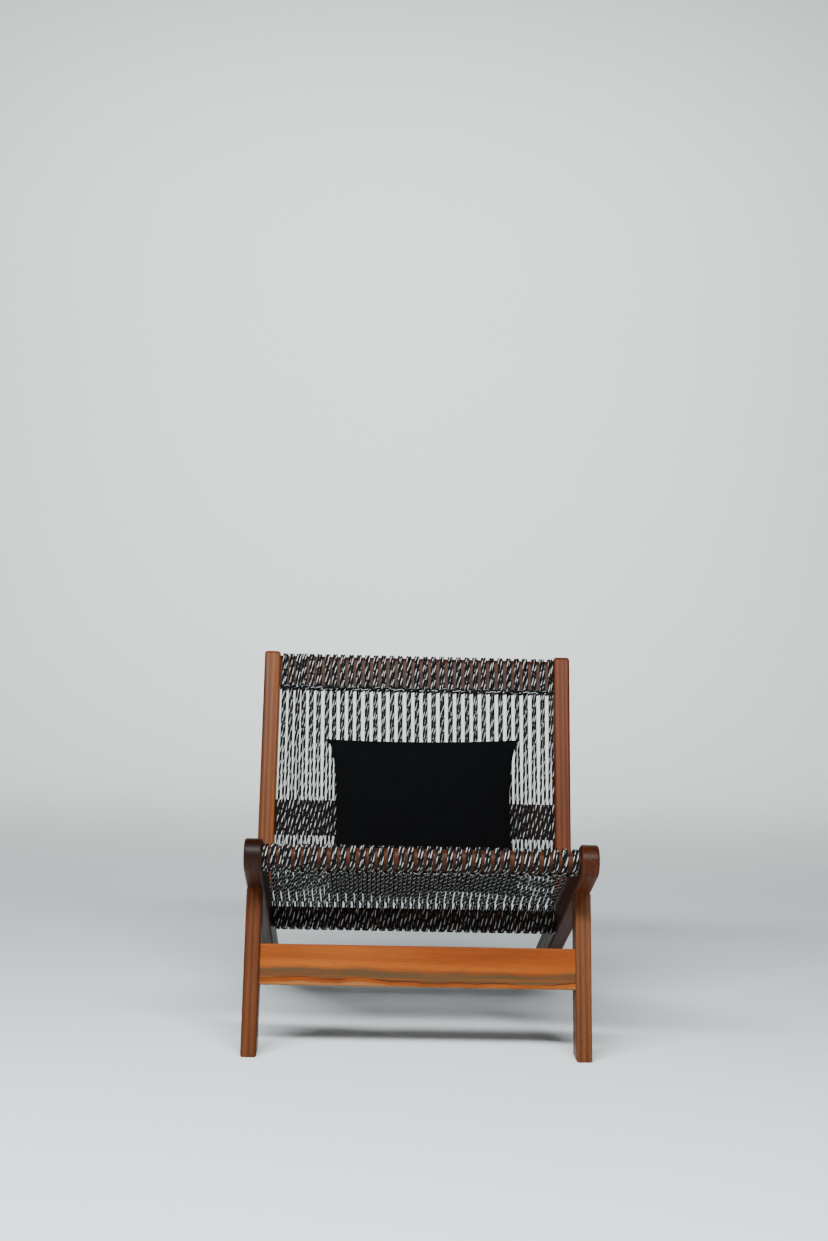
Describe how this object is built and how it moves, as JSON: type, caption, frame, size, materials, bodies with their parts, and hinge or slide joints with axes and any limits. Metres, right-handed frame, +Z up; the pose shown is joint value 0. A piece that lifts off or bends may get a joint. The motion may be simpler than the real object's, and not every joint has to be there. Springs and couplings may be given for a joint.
{
  "type": "rope lounge chair",
  "caption": "Low wooden lounge chair with a reclined seat and back strung with black and white braided rope, and a loose lumbar pillow.",
  "frame": {"origin": "on the floor, under the middle of the chair's outer box", "axes": "+X to the right seen from the front, -Y the front of the chair, +Z up"},
  "size_m": [0.7, 0.8899, 0.7909],
  "materials": {
    "frame_wood": "oiled, satin, eased edges",
    "stretcher_wood": "oiled, satin, lighter board with dark heartwood streaks",
    "dowel_wood": "plain, glued",
    "rope": "braided cord, white with black strands",
    "pillow_fabric": "black woven cotton, matt"
  },
  "bodies": {
    "frame": {"left_side_rail": "frame_wood", "right_side_rail": "frame_wood", "left_front_leg": "frame_wood", "right_front_leg": "frame_wood", "left_back_post": "frame_wood", "right_back_post": "frame_wood", "front_stretcher": "stretcher_wood", "seat_front_rail": "frame_wood", "seat_rear_rail": "frame_wood", "lumbar_rail": "frame_wood", "top_rail": "frame_wood", "seat_rope": "rope", "back_rope": "rope", "rail_dowels": "dowel_wood", "stretcher_dowels": "dowel_wood", "post_dowels": "dowel_wood", "leg_dowels": "dowel_wood"},
    "pillow": {"lumbar_pillow": "pillow_fabric"}
  },
  "joints": [
    {"name": "pillow_lift", "type": "slide", "parent": "frame", "child": "pillow", "axis": [0, 0, 1], "range_m": [0, 0.6]}
  ]
}
